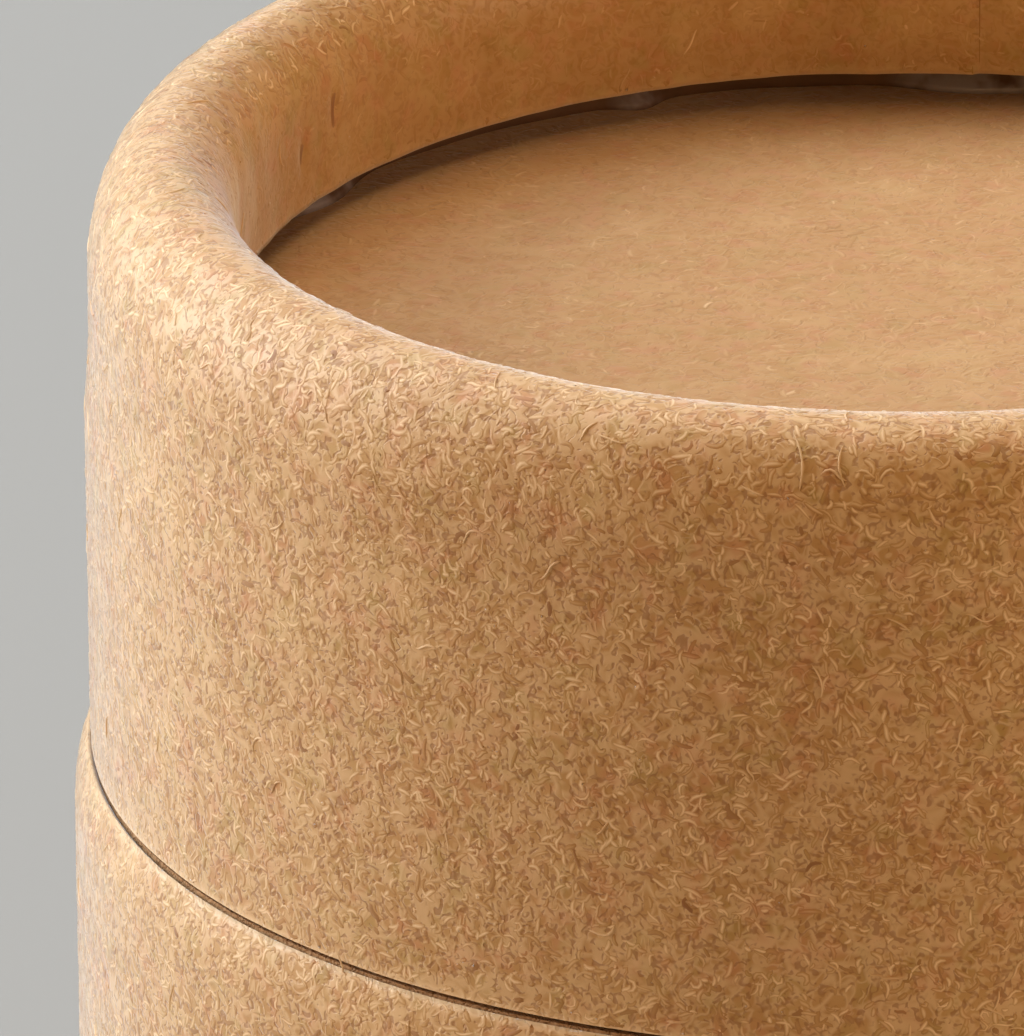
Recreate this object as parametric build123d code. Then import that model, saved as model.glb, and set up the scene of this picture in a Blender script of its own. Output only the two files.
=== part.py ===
from build123d import *
from dataclasses import dataclass
from math import asin, cos, degrees, hypot
import os

# A round gift tube of kraft paper over wound board. The lid's wall is curled inwards at the
# top into a fat rim, over a sunk flat panel, and the base's wall is curled the same way
# round the foot. A neck, glued inside the base's wall, stands above it and guides the lid.
# Millimetres, +Z up along the tube, origin in the middle of the foot.

# The whole tube
overall_height = 105.0
lid_height = 21.4
bore_radius = 25.0

# Paper and board. Every tube is wound from thin plies, each its own piece here.
wrap_thickness = 0.25
lid_lining_thickness = 0.15
neck_lining_thickness = 0.20
lid_ply = 0.60
lid_ply_names = ("outer_ply", "inner_ply")
body_ply = 0.70
body_ply_names = ("outer_ply", "middle_ply", "inner_ply")
neck_ply = 0.50
neck_ply_names = ("outer_ply", "inner_ply")

# Running room between the lid and the base
lid_slip = 0.20
groove_height = 0.20

# The rim's curl. The wall bends over the shoulder to the crown, and over the brow down
# into the recess, where its tuck ends. Both bends are quarter ovals.
rim_shoulder_width = 2.85
rim_shoulder_height = 4.30
rim_brow_width = 2.40
rim_brow_height = 2.80
rim_tuck_depth = 6.20

# The foot's curl, the same with a narrow flat that the tube stands on
foot_shoulder_width = 3.10
foot_shoulder_height = 4.00
foot_flat = 0.90
foot_brow_width = 2.80
foot_brow_height = 3.00
foot_tuck_depth = 6.00

# The base's upper edge, drawn in a little towards the lid
edge_run = 0.45
edge_drop = 2.20

# The panels, each a facing, a board and a lining, held by a bead of glue in the curl
panel_facing = 0.25
panel_board = 1.50
panel_lining = 0.15
panel_slot = 1.00
bead_setback = 1.15
bead_width = 1.10

# The neck's room under the lid's panel, and the bevel that leads the lid on
neck_headroom = 0.40
neck_bevel = 0.25

# The wraps' lap seams, where the paper's end is glued over its start
seam_width = 7.0
seam_thickness = 0.15
lid_seam_azimuth = 91.5
body_seam_azimuth = 130.0

# Derived sizes
neck_wall = len(neck_ply_names) * neck_ply + neck_lining_thickness
neck_radius = bore_radius + neck_wall
lid_bore = neck_radius + lid_slip
lid_wall = wrap_thickness + len(lid_ply_names) * lid_ply + lid_lining_thickness
lid_radius = lid_bore + lid_wall
body_wall = wrap_thickness + len(body_ply_names) * body_ply
body_radius = neck_radius + body_wall
body_top = overall_height - lid_height
lid_bottom = body_top + groove_height
panel_thickness = panel_facing + panel_board + panel_lining
lid_panel_top = overall_height - rim_tuck_depth - panel_slot
base_panel_bottom = foot_tuck_depth + panel_slot
neck_bottom = base_panel_bottom + panel_thickness
neck_top = lid_panel_top - panel_thickness - neck_headroom


@dataclass
class Curl:
    """A tube's end curled inwards, described by its outer skin with the crown upwards."""

    radius: float
    shoulder_width: float
    shoulder_height: float
    flat: float
    brow_width: float
    brow_height: float
    tuck_depth: float

    @property
    def crown_radius(self):
        """Where the shoulder reaches the crown."""
        return self.radius - self.shoulder_width

    @property
    def tuck_radius(self):
        """The turned-in wall's face, round the recess."""
        return self.crown_radius - self.flat - self.brow_width


rim = Curl(lid_radius, rim_shoulder_width, rim_shoulder_height, 0,
           rim_brow_width, rim_brow_height, rim_tuck_depth)
foot = Curl(body_radius, foot_shoulder_width, foot_shoulder_height, foot_flat,
            foot_brow_width, foot_brow_height, foot_tuck_depth)


def curled_skin(curl, depth, wall_end):
    """Edges of the curl at this depth below its skin, from the tuck's tip over the crown
    and down the wall, which wall_end finishes. The crown's top is at zero height."""
    brow_centre = (curl.crown_radius - curl.flat, -curl.brow_height)
    shoulder_centre = (curl.crown_radius, -curl.shoulder_height)
    tuck_x = curl.tuck_radius + depth
    edges = [
        Line((tuck_x, -curl.tuck_depth), (tuck_x, brow_centre[1])),
        EllipticalCenterArc(brow_centre, curl.brow_width - depth, curl.brow_height - depth,
                            180, arc_size=-90),
    ]
    if curl.flat > 0:
        edges.append(Line((brow_centre[0], -depth), (shoulder_centre[0], -depth)))
    edges.append(
        EllipticalCenterArc(shoulder_centre, curl.shoulder_width - depth,
                            curl.shoulder_height - depth, 90, arc_size=-90)
    )
    return edges + wall_end(curl.radius - depth, shoulder_centre[1], depth)


def cut_square(end_height):
    """A wall that runs straight to a square cut."""
    def finish(wall_x, start, depth):
        return [Line((wall_x, start), (wall_x, end_height))]
    return finish


def cut_drawn_in(end_height, run, drop):
    """A wall whose last stretch is drawn in by run over drop, then cut square."""
    arc_radius = hypot(run, drop) ** 2 / (2 * run)

    def finish(wall_x, start, depth):
        bend = asin(drop / (arc_radius - depth))
        centre = (wall_x + depth - arc_radius, end_height + drop)
        return [
            Line((wall_x, start), (wall_x, centre[1])),
            CenterArc(centre, arc_radius - depth, 0, -degrees(bend)),
        ]
    return finish


def layer_outline(near, far):
    """The closed outline between two skins that run the same way."""
    tip = Line(near[0] @ 0, far[0] @ 0)
    cut = Line(near[-1] @ 1, far[-1] @ 1)
    return Face(Wire([tip, *near, cut, *far]))


def turned(outline, arc=360, azimuth=0):
    """The outline turned about the tube's axis. A part turn is centred on the azimuth."""
    solid = revolve(Plane.XZ * outline, Axis.Z, revolution_arc=arc)
    return Rot(0, 0, azimuth - arc / 2) * solid if arc < 360 else solid


def ring(inner, outer, low, high):
    """A plain tube, or a disc when inner is zero."""
    across = outer - inner
    outline = Pos(inner + across / 2, (low + high) / 2) * Rectangle(across, high - low)
    return turned(outline)


def ply_depths(first, ply, count):
    """Depths of the plies' faces below the skin, from the first."""
    return [first + ply * index for index in range(count + 1)]


def lid_layer(near_depth, far_depth, arc=360):
    """One layer of the lid's wall and rim, in its place."""
    end = cut_square(lid_bottom - overall_height)
    outline = layer_outline(curled_skin(rim, near_depth, end), curled_skin(rim, far_depth, end))
    return Pos(0, 0, overall_height) * turned(outline, arc, lid_seam_azimuth)


def lid_wall_pieces():
    """The lid's wrap with its lap seam, its plies, and the lining that the panel rests on."""
    seam_arc = degrees(seam_width / lid_radius)
    pieces = {"lid_wrap": lid_layer(0, wrap_thickness) + lid_layer(-seam_thickness, 0, seam_arc)}
    depths = ply_depths(wrap_thickness, lid_ply, len(lid_ply_names))
    for name, near, far in zip(lid_ply_names, depths, depths[1:]):
        pieces["lid_" + name] = lid_layer(near, far)
    lining_top = lid_panel_top - panel_thickness
    pieces["lid_lining"] = ring(lid_bore, lid_bore + lid_lining_thickness, lid_bottom, lining_top)
    return pieces


def body_layer(near, near_end, far, far_end):
    """One layer of the base's wall and foot: drawn crown upwards, then turned over."""
    outline = layer_outline(curled_skin(foot, near, near_end), curled_skin(foot, far, far_end))
    return mirror(turned(outline), Plane.XY)


def body_wall_pieces():
    """The base's wrap with its lap seam, and its plies. Only the wrap and the outer ply are
    drawn in at the edge: the plies behind them stay straight against the neck."""
    drawn = cut_drawn_in(-body_top, edge_run, edge_drop)
    square = cut_square(-body_top)
    wrap = body_layer(0, drawn, wrap_thickness, drawn)
    pieces = {"body_wrap": wrap + body_seam()}
    depths = ply_depths(wrap_thickness, body_ply, len(body_ply_names))
    for index, name in enumerate(body_ply_names):
        near_end = drawn if index == 0 else square
        pieces["body_" + name] = body_layer(depths[index], near_end, depths[index + 1], square)
    return pieces


def body_seam():
    """The lap seam's second layer. The foot's curl and the drawn-in edge press it flat."""
    low = foot_shoulder_height
    high = body_top - edge_drop
    outline = Pos(body_radius + seam_thickness / 2, (low + high) / 2)
    outline *= Rectangle(seam_thickness, high - low)
    return turned(outline, degrees(seam_width / body_radius), body_seam_azimuth)


def neck_pieces():
    """The inner tube, from the bottom panel to just under the lid's panel."""
    outer, inner = (
        ring(neck_radius - far, neck_radius - near, neck_bottom, neck_top)
        for near, far in ((0, neck_ply), (neck_ply, neck_ply + neck_ply))
    )
    mouth = outer.edges().group_by(Axis.Z)[-1].sort_by(SortBy.RADIUS)[-1]
    return {
        "neck_outer_ply": chamfer(mouth, neck_bevel),
        "neck_inner_ply": inner,
        "neck_lining": ring(bore_radius, bore_radius + neck_lining_thickness, neck_bottom, neck_top),
    }


def panel_pieces(prefix, radius, face, inwards):
    """A panel's three layers, from its outer face at this height inwards."""
    layers = (("facing", panel_facing), ("board", panel_board), ("lining", panel_lining))
    pieces = {}
    height = face
    for name, thickness in layers:
        further = height + inwards * thickness
        pieces[prefix + "_panel_" + name] = ring(0, radius, min(height, further), max(height, further))
        height = further
    return pieces


def glue_bead(curl):
    """The bead in the slot between the tuck's tip and the panel, set back from the recess.
    Drawn crown upwards."""
    front = curl.tuck_radius + bead_setback
    return ring(front, front + bead_width, -curl.tuck_depth - panel_slot, -curl.tuck_depth)


def build_tube():
    pieces = {}
    pieces.update(lid_wall_pieces())
    pieces.update(panel_pieces("lid", lid_bore + lid_lining_thickness, lid_panel_top, -1))
    pieces["lid_glue_bead"] = Pos(0, 0, overall_height) * glue_bead(rim)
    pieces.update(body_wall_pieces())
    pieces.update(neck_pieces())
    pieces.update(panel_pieces("base", neck_radius, base_panel_bottom, 1))
    pieces["base_glue_bead"] = mirror(glue_bead(foot), Plane.XY)
    return pieces


def report_sizes():
    print("lid radius %.2f, recess radius %.2f" % (lid_radius, rim.tuck_radius))
    print("body radius %.2f, neck radius %.2f" % (body_radius, neck_radius))
    print("foot flat from %.2f to %.2f" % (foot.crown_radius - foot_flat, foot.crown_radius))
    print("neck %.2f to %.2f, stands %.2f above the wall" % (neck_bottom, neck_top, neck_top - body_top))
    print("lid panel %.2f to %.2f" % (lid_panel_top - panel_thickness, lid_panel_top))


os.makedirs("parts", exist_ok=True)
report_sizes()
for node, piece in build_tube().items():
    export_step(piece, "parts/" + node + ".step")
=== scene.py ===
# %% [markdown]
# # A kraft gift tube in Blender
# The object is a round box of kraft paper over wound board. Its lid lifts off the neck of a
# longer base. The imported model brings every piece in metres, with the foot on z = 0, and nothing
# of it is moved here. This lesson dresses it: it builds finer skins where the paper shows, lays
# real fibres on them, and gives every piece a finish made only of nodes.

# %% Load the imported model
import math

import bpy
import numpy as np
from mathutils import Matrix, Vector


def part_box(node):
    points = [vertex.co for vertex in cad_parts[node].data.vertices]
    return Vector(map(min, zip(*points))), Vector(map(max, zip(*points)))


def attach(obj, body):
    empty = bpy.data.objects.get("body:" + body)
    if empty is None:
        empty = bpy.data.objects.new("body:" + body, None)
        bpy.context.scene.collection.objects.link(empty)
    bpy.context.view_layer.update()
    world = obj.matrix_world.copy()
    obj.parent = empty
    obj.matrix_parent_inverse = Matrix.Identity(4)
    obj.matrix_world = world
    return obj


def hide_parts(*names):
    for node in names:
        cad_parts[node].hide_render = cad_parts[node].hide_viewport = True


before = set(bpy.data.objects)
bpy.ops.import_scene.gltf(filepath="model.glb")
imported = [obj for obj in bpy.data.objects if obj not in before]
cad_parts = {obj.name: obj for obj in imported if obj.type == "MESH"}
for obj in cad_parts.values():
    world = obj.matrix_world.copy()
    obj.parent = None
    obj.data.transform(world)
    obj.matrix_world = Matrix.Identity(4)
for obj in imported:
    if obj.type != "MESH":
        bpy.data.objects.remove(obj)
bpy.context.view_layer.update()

MM = 0.001

# %% [markdown]
# ## Sizes
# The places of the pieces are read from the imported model, so the skins fit it by themselves.
# The two curls are quarter ovals, which no box can tell, so their half axes are written here as
# they are on the real tube.

# %% Read the places and name the curls
PAPER = 0.25 * MM
SEAM_LIFT = 0.15 * MM
LID_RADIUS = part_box("lid_wrap")[1].x
LID_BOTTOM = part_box("lid_wrap")[0].z
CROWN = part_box("lid_outer_ply")[1].z + PAPER
BODY_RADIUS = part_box("body_wrap")[1].x
BODY_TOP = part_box("body_wrap")[1].z
LID_PANEL_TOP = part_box("lid_panel_facing")[1].z
LID_PANEL_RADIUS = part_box("lid_panel_facing")[1].x
BASE_PANEL_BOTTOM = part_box("base_panel_facing")[0].z
BASE_PANEL_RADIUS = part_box("base_panel_facing")[1].x

RIM = {"radius": LID_RADIUS, "shoulder": (2.85 * MM, 4.30 * MM), "flat": 0.0,
       "brow": (2.40 * MM, 2.80 * MM), "tuck": 6.20 * MM}
FOOT = {"radius": BODY_RADIUS, "shoulder": (3.10 * MM, 4.00 * MM), "flat": 0.90 * MM,
        "brow": (2.80 * MM, 3.00 * MM), "tuck": 6.00 * MM}
EDGE_RUN = 0.45 * MM
EDGE_DROP = 2.20 * MM
print("lid radius %.2f mm, body radius %.2f mm" % (LID_RADIUS / MM, BODY_RADIUS / MM))

# %% [markdown]
# ## The camera
# The photograph is a close view of the tube's upper left part through a long lens. Six numbers
# place such a camera: how far it stands from the rim, how high it looks down, its slight roll,
# its focal length in pixels, and the pixel on which the middle of the rim falls. The camera is
# turned until that pixel looks at the rim's middle, so no lens shift is needed.

# %% Place the camera
PHOTO_WIDTH = 1024
PHOTO_HEIGHT = 1036
RIM_CENTRE_PIXEL = (910.93, 137.82)
FOCAL_PIXELS = 16627.0
CAMERA_DISTANCE = 560 * MM
CAMERA_ELEVATION = math.radians(20.82)
CAMERA_ROLL = math.radians(-0.109)
SENSOR = 36.0


def camera_axes():
    """Right, up and forward of the camera, in the frame."""
    forward = Vector((0, math.cos(CAMERA_ELEVATION), -math.sin(CAMERA_ELEVATION)))
    right = Vector((1, 0, 0))
    axes = Matrix((right, right.cross(forward), forward))
    across = RIM_CENTRE_PIXEL[0] - PHOTO_WIDTH / 2
    down = RIM_CENTRE_PIXEL[1] - PHOTO_HEIGHT / 2
    sight = Vector((across, -down, FOCAL_PIXELS)).normalized()
    swing = Vector((0, 0, 1)).rotation_difference(sight).to_matrix()
    return swing @ Matrix.Rotation(CAMERA_ROLL, 3, "Z") @ axes


def make_camera():
    """A camera whose long side is the picture's height."""
    data = bpy.data.cameras.new("picture_camera")
    data.sensor_width = SENSOR
    data.lens = FOCAL_PIXELS * SENSOR / PHOTO_HEIGHT
    data.clip_start = 10 * MM
    right, up, forward = camera_axes()
    eye = Vector((0, 0, CROWN)) + CAMERA_DISTANCE * Vector(
        (0, -math.cos(CAMERA_ELEVATION), math.sin(CAMERA_ELEVATION)))
    camera = bpy.data.objects.new("picture_camera", data)
    turn = Matrix((right, up, -forward)).transposed().to_4x4()
    camera.matrix_world = Matrix.Translation(eye) @ turn
    bpy.context.scene.collection.objects.link(camera)
    bpy.context.scene.camera = camera
    return camera


camera = make_camera()
print("lens %.1f mm at %s" % (camera.data.lens, camera.location))

# %% [markdown]
# ## Helpers for shader nodes
# A finish is a small tree of nodes. One helper adds a node with its settings and gives each of
# its inputs a plain value or a link. The others stand on it and keep the recipes short.

# %% Node helpers
def add(tree, kind, inputs=None, **settings):
    """A new node. Inputs are plain values or sockets to be linked."""
    node = tree.nodes.new("ShaderNode" + kind)
    for key, value in settings.items():
        setattr(node, key, value)
    for key, value in (inputs or {}).items():
        if isinstance(value, bpy.types.NodeSocket):
            tree.links.new(value, node.inputs[key])
        else:
            node.inputs[key].default_value = value
    return node


def sums(tree, operation, first, second=0.0, third=0.0, clamp=False):
    """The output of one Math node."""
    values = {0: first, 1: second, 2: third}
    return add(tree, "Math", values, operation=operation, use_clamp=clamp).outputs[0]


def ramp(tree, factor, low, high, start=0.0, end=1.0):
    """A value mapped smoothly from low..high to start..end, and held beyond it."""
    values = {"Value": factor, "From Min": low, "From Max": high, "To Min": start, "To Max": end}
    return add(tree, "MapRange", values, interpolation_type="SMOOTHSTEP").outputs["Result"]


def noise(tree, place, scale, detail, roughness=0.5, distortion=0.0):
    """The value of one Noise Texture."""
    values = {"Vector": place, "Scale": scale, "Detail": detail, "Roughness": roughness,
              "Distortion": distortion}
    return add(tree, "TexNoise", values).outputs["Fac"]


def blend_colours(tree, factor, first, second):
    """One Mix node for colours: its inputs 6 and 7 take them, and its output 2 is the blend."""
    return add(tree, "Mix", {0: factor, 6: first, 7: second}, data_type="RGBA").outputs[2]


# %% [markdown]
# ## Helpers for groups and materials
# A node group with named inputs and outputs is how an effect is shared by several finishes. Each
# material keeps its own Principled BSDF, and a colour and a Bump are linked to it. Numbers that
# don't change over the surface go straight on its sockets.

# %% Group and material helpers
FLOAT = "NodeSocketFloat"
VECTOR = "NodeSocketVector"
COLOUR = "NodeSocketColor"


def start_group(name, inputs, outputs):
    """An empty node group with its sockets, and its input and output nodes."""
    group = bpy.data.node_groups.new(name, "ShaderNodeTree")
    for label, kind, value in inputs:
        socket = group.interface.new_socket(label, in_out="INPUT", socket_type=kind)
        if value is not None:
            socket.default_value = value
    for label, kind in outputs:
        group.interface.new_socket(label, in_out="OUTPUT", socket_type=kind)
    return group, group.nodes.new("NodeGroupInput"), group.nodes.new("NodeGroupOutput")


def use_group(tree, group, inputs):
    """The group placed in a material, with this material's own values."""
    return add(tree, "Group", inputs, node_tree=group)


def start_material(name):
    """A material with its tree, its Principled BSDF and object coordinates."""
    material = bpy.data.materials.new(name)
    material.use_nodes = True
    tree = material.node_tree
    place = tree.nodes.new("ShaderNodeTexCoord").outputs["Object"]
    return material, tree, tree.nodes["Principled BSDF"], place


def set_plain(shader, **values):
    """Plain numbers straight on the shader's own sockets."""
    for key, value in values.items():
        shader.inputs[key.replace("_", " ")].default_value = value


def link_surface(tree, shader, colour, height, relief, strength=1.0):
    """A colour, and a height as a Bump of this depth, linked to the shader."""
    tree.links.new(colour, shader.inputs["Base Color"])
    bump = add(tree, "Bump", {"Height": height, "Distance": relief, "Strength": strength})
    tree.links.new(bump.outputs["Normal"], shader.inputs["Normal"])


# %% [markdown]
# ## Light
# A wide softbox stands to the left and a little behind the tube. It grazes the wall, which
# brings out every fibre on the right and washes them out on the left. A smaller one beside it
# reaches further round the wall. Two more hang behind: one for the rim's crown, and a high one
# for the sunk panel. Two weak warm ones stand low at the right and in front, like pale cards on
# the table: they open the dark side without shining into the recess. Each row gives a lamp's
# azimuth and elevation in degrees, its width, its power and its colour.

# %% Set the light
LAMP_DISTANCE = 0.9
LAMPS = {
    "key_softbox": (158, 19, 0.70, 11.0, (0.85, 1.04, 1.18)),
    "side_softbox": (180, 18, 0.50, 4.2, (1.0, 0.62, 0.38)),
    "crown_softbox": (132, 46, 0.50, 4.0, (0.80, 1.0, 1.26)),
    "top_softbox": (64, 61, 0.80, 5.9, (1.0, 0.79, 0.56)),
    "right_card": (-20, 8, 0.50, 3.6, (1.0, 0.71, 0.50)),
    "front_card": (-80, 6, 0.50, 2.1, (1.0, 0.60, 0.26)),
}


def around(azimuth, elevation, distance):
    """A point at this direction and distance from the middle of the lid."""
    level = distance * math.cos(elevation)
    return Vector((level * math.cos(azimuth), level * math.sin(azimuth),
                   CROWN + distance * math.sin(elevation)))


def make_softbox(name, azimuth, elevation, size, power, colour):
    """A square area lamp that looks at the lid and can't be seen itself."""
    data = bpy.data.lights.new(name, "AREA")
    data.shape = "SQUARE"
    data.size = size
    data.energy = power
    data.color = colour
    place = around(math.radians(azimuth), math.radians(elevation), LAMP_DISTANCE)
    lamp = bpy.data.objects.new(name, data)
    lamp.location = place
    lamp.rotation_mode = "QUATERNION"
    lamp.rotation_quaternion = (Vector((0, 0, CROWN)) - place).to_track_quat("-Z", "Y")
    lamp.visible_camera = False
    bpy.context.scene.collection.objects.link(lamp)
    return lamp


for lamp_name, settings in LAMPS.items():
    lamp = make_softbox(lamp_name, *settings)
    print(lamp_name, "at", [round(c, 2) for c in lamp.location])

# %% [markdown]
# ## World and floor
# The world gives a faint warm fill. Where the camera sees it directly, past the far end of the
# floor, a light-path node swaps in a plain backdrop, so each can be set without the other. The
# floor is one wide plane, and no part of the tube.

# %% Set the world and the floor
FILL_COLOUR = (0.04, 0.028, 0.018, 1)
BACKDROP_COLOUR = (0.50, 0.49, 0.465, 1)
FLOOR_COLOUR = (0.312, 0.313, 0.302, 1)
FLOOR_HALF_WIDTH = 12.0


def make_world():
    """A plain fill light, with the backdrop's own colour where the camera sees it."""
    world = bpy.data.worlds.new("studio")
    world.use_nodes = True
    tree = world.node_tree
    fill = tree.nodes["Background"]
    fill.inputs["Color"].default_value = FILL_COLOUR
    seen = add(tree, "Background", {"Color": BACKDROP_COLOUR})
    camera_ray = add(tree, "LightPath").outputs["Is Camera Ray"]
    mix = add(tree, "MixShader", {0: camera_ray, 1: fill.outputs[0], 2: seen.outputs[0]})
    tree.links.new(mix.outputs[0], tree.nodes["World Output"].inputs["Surface"])
    bpy.context.scene.world = world


def make_floor():
    """The plain floor that the tube stands on."""
    half = FLOOR_HALF_WIDTH
    mesh = bpy.data.meshes.new("studio_floor")
    corners = [(-half, -half, 0), (half, -half, 0), (half, half, 0), (-half, half, 0)]
    mesh.from_pydata(corners, [], [(0, 1, 2, 3)])
    floor = bpy.data.objects.new("studio_floor", mesh)
    material = bpy.data.materials.new("studio_floor")
    material.use_nodes = True
    set_plain(material.node_tree.nodes["Principled BSDF"], Base_Color=FLOOR_COLOUR,
              Roughness=0.9, Specular_IOR_Level=0.1)
    mesh.materials.append(material)
    bpy.context.scene.collection.objects.link(floor)


make_world()
make_floor()
bpy.context.scene.view_settings.view_transform = "Standard"
print("floor %.0f m wide" % (2 * FLOOR_HALF_WIDTH))

# %% [markdown]
# ## The paper's relief, as a node group
# Unbleached kraft is a felt of curly wood fibres. Pressed flat and glued, it looks embossed:
# short light ridges that wind about, with small dark pits between them. The contour lines of a
# smooth noise wind in just this way. The group takes two such noises at different sizes, bends
# them, and turns their contours into ridges. A finer noise cuts the pits, which the group calls
# furrows, and the finest grain is added under them. Each ridge row gives a noise's shift,
# fineness and bend. All fineness is in multiples of the curls' own.

# %% Build the relief group
PER_METRE = 1.0 / MM
RIDGES = ((3.7, 1.0, 0.9), (11.3, 1.55, 1.4))
RIDGE_WIDTH = 0.13
FINE_RIDGE_SHARE = 0.8
PIT_FINENESS = 3.7
PIT_BOTTOM = 0.31
PIT_EDGE = 0.49
PIT_DEPTH = 0.8
GRAIN_FINENESS = 9.0


def in_millimetres(group, given):
    """The coordinates that a group is given, in millimetres."""
    return add(group, "VectorMath", {0: given.outputs["Vector"], "Scale": PER_METRE},
               operation="SCALE").outputs[0]


def build_relief_group():
    """Height of the pressed fibres, with masks of their crests and furrows."""
    group, given, result = start_group(
        "pressed_fibres",
        [("Vector", VECTOR, None), ("Curl Size mm", FLOAT, 1.0), ("Grain", FLOAT, 0.3)],
        [("Height", FLOAT), ("Crest", FLOAT), ("Furrow", FLOAT)])
    scaled = in_millimetres(group, given)
    curls = sums(group, "DIVIDE", 1.0, given.outputs["Curl Size mm"])

    def fineness(share):
        return sums(group, "MULTIPLY", curls, share)

    ridges = []
    for shift, share, bend in RIDGES:
        moved = add(group, "VectorMath", {0: scaled, 1: (shift, shift * 2, shift * 3)}).outputs[0]
        field = noise(group, moved, fineness(share), 0.6, 0.4, bend)
        away = sums(group, "ABSOLUTE", sums(group, "SUBTRACT", field, 0.5))
        ridges.append(ramp(group, away, 0.0, RIDGE_WIDTH, 1.0, 0.0))
    crest = sums(group, "MAXIMUM", ridges[0],
                 sums(group, "MULTIPLY", ridges[1], FINE_RIDGE_SHARE))
    pits = noise(group, scaled, fineness(PIT_FINENESS), 0.5, 0.5, 1.5)
    furrow = ramp(group, pits, PIT_BOTTOM, PIT_EDGE, 1.0, 0.0)
    grain = noise(group, scaled, fineness(GRAIN_FINENESS), 3.0, 0.65)
    height = sums(group, "SUBTRACT", crest, sums(group, "MULTIPLY", furrow, PIT_DEPTH))
    height = sums(group, "MULTIPLY_ADD", grain, given.outputs["Grain"], height)
    for label, value in (("Height", height), ("Crest", crest), ("Furrow", furrow)):
        group.links.new(value, result.inputs[label])
    return group


relief_group = build_relief_group()
print("relief group:", len(relief_group.nodes), "nodes")

# %% [markdown]
# ## The paper's colour, as a node group
# Kraft pulp is never one colour. Clouds of a few millimetres lean to rose, olive or straw, and
# single flecks are darker. The group blends these over the base colour by soft noises. Each row
# gives a noise's shift, fineness and detail, where it starts and is full, and its strength.

# %% Build the colour group
CLOUDS = {"Rose": (5.0, 1.0, 2.0, 0.48, 0.70, 0.75), "Olive": (17.0, 0.9, 2.0, 0.50, 0.72, 0.65),
          "Straw": (29.0, 0.35, 3.0, 0.42, 0.75, 0.55)}
FLECKS = (41.0, 7.0, 1.0, 0.66, 0.80, 0.15)
FLECK_COLOUR = (0.16, 0.08, 0.035, 1)


def build_pulp_group():
    """Colour of the pulp, cloudy and flecked."""
    colours = [(label, COLOUR, None) for label in ("Base", *CLOUDS)]
    group, given, result = start_group(
        "pulp_colour", [("Vector", VECTOR, None), ("Cloud Size mm", FLOAT, 1.1), *colours],
        [("Color", COLOUR)])
    scaled = in_millimetres(group, given)
    fineness = sums(group, "DIVIDE", 1.0, given.outputs["Cloud Size mm"])
    tints = [(given.outputs[label], row) for label, row in CLOUDS.items()]
    colour = given.outputs["Base"]
    for tint, (shift, share, detail, start, full, strength) in (*tints, (FLECK_COLOUR, FLECKS)):
        moved = add(group, "VectorMath", {0: scaled, 1: (shift, -shift, shift * 2)}).outputs[0]
        cloud = noise(group, moved, sums(group, "MULTIPLY", fineness, share), detail, 0.6)
        factor = sums(group, "MULTIPLY", ramp(group, cloud, start, full), strength)
        colour = blend_colours(group, factor, colour, tint)
    group.links.new(colour, result.inputs["Color"])
    return group


pulp_group = build_pulp_group()
print("pulp group:", len(pulp_group.nodes), "nodes")

# %% [markdown]
# ## Kraft paper
# The skin's finish joins both groups. The crests are painted paler, which is a painted highlight,
# and the furrows are painted darker, which is a painted shade. The relief reaches the surface as a
# Bump of one or two hundredths of a millimetre. A soft sheen stands for the finest fuzz, which is
# too small to model. Two values on the skin's points steer all this. Where the curling tool has
# pressed the paper smooth, most of the relief and of its painted light and shade goes. Near a cut
# the paper is paler, partly from wear and partly as a painted highlight along the edge.

# %% Make the paper finishes
# The pale colour is painted highlight on crests and pale wear at cut edges; the dark one is
# painted shade.
PALE_HIGHLIGHT_AND_WEAR = (0.86, 0.61, 0.34, 1)
PAINTED_SHADE_BROWN = (0.27, 0.105, 0.022, 1)
PRESSED_AWAY = 0.7
EDGE_WEAR_AND_HIGHLIGHT_PALENESS = 0.6
SHEEN = {"Sheen_Roughness": 0.33, "Sheen_Tint": (0.97, 0.99, 1.0, 1)}
WALL_COLOURS = {"Base": (0.47, 0.248, 0.070, 1), "Rose": (0.51, 0.218, 0.076, 1),
                "Olive": (0.40, 0.252, 0.054, 1), "Straw": (0.58, 0.350, 0.125, 1)}
PANEL_COLOURS = {"Base": (0.47, 0.246, 0.082, 1), "Rose": (0.49, 0.216, 0.084, 1),
                 "Olive": (0.43, 0.249, 0.073, 1), "Straw": (0.56, 0.334, 0.132, 1)}


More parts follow.
